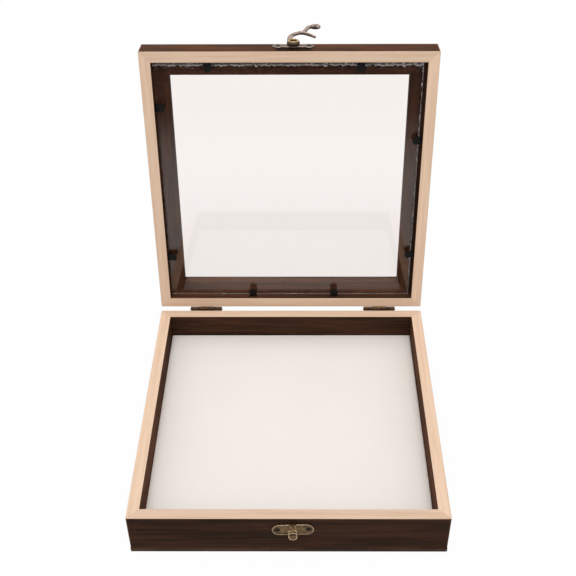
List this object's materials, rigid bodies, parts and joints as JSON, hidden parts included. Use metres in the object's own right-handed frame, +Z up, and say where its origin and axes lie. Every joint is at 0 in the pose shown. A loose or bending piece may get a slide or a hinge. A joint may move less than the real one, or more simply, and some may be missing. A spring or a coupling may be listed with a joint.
{
  "type": "insect specimen box",
  "caption": "Square wooden specimen box with a hinged glass lid, a foam pinning floor and a swing hook latch.",
  "frame": {"origin": "centre of the underside of the base", "axes": "+Z up, +X to the right seen from the latch, +Y from the latch side to the hinge side"},
  "size_m": [0.2004, 0.2727, 0.2368],
  "materials": {
    "stained_wood": "satin",
    "stained_plywood": "satin",
    "foam": "matte",
    "window_glass": "gloss",
    "black_steel": "satin",
    "pin_steel": "satin",
    "screw_bronze": "satin",
    "antique_bronze": "satin"
  },
  "bodies": {
    "base": {"bottom_panel": "stained_plywood", "base_front_wall": "stained_wood", "base_back_wall": "stained_wood", "base_left_wall": "stained_wood", "base_right_wall": "stained_wood", "pinning_foam": "foam", "hinge_left_base_leaf": "antique_bronze", "hinge_right_base_leaf": "antique_bronze", "hinge_left_pin": "pin_steel", "hinge_right_pin": "pin_steel", "base_hinge_screws": "screw_bronze", "catch_plate": "antique_bronze", "catch_screws": "screw_bronze"},
    "lid": {"lid_front_rail": "stained_wood", "lid_back_rail": "stained_wood", "lid_left_rail": "stained_wood", "lid_right_rail": "stained_wood", "glass_pane": "window_glass", "glazing_points": "black_steel", "hinge_left_lid_leaf": "antique_bronze", "hinge_right_lid_leaf": "antique_bronze", "lid_hinge_screws": "screw_bronze", "latch_plate": "antique_bronze", "latch_rivet": "antique_bronze", "latch_screws": "screw_bronze"},
    "hook": {"latch_hook": "antique_bronze"}
  },
  "joints": [
    {"name": "lid_hinge", "type": "hinge", "parent": "base", "child": "lid", "pos_m": [0, 0.102, 0.0325], "axis": [1, 0, 0], "range_deg": [0, 96.6]},
    {"name": "latch_swing", "type": "hinge", "parent": "lid", "child": "hook", "pos_m": [0.0027, 0.13485, 0.23205], "axis": [0, 0.1149, 0.9934], "range_deg": [-150, 155]}
  ]
}
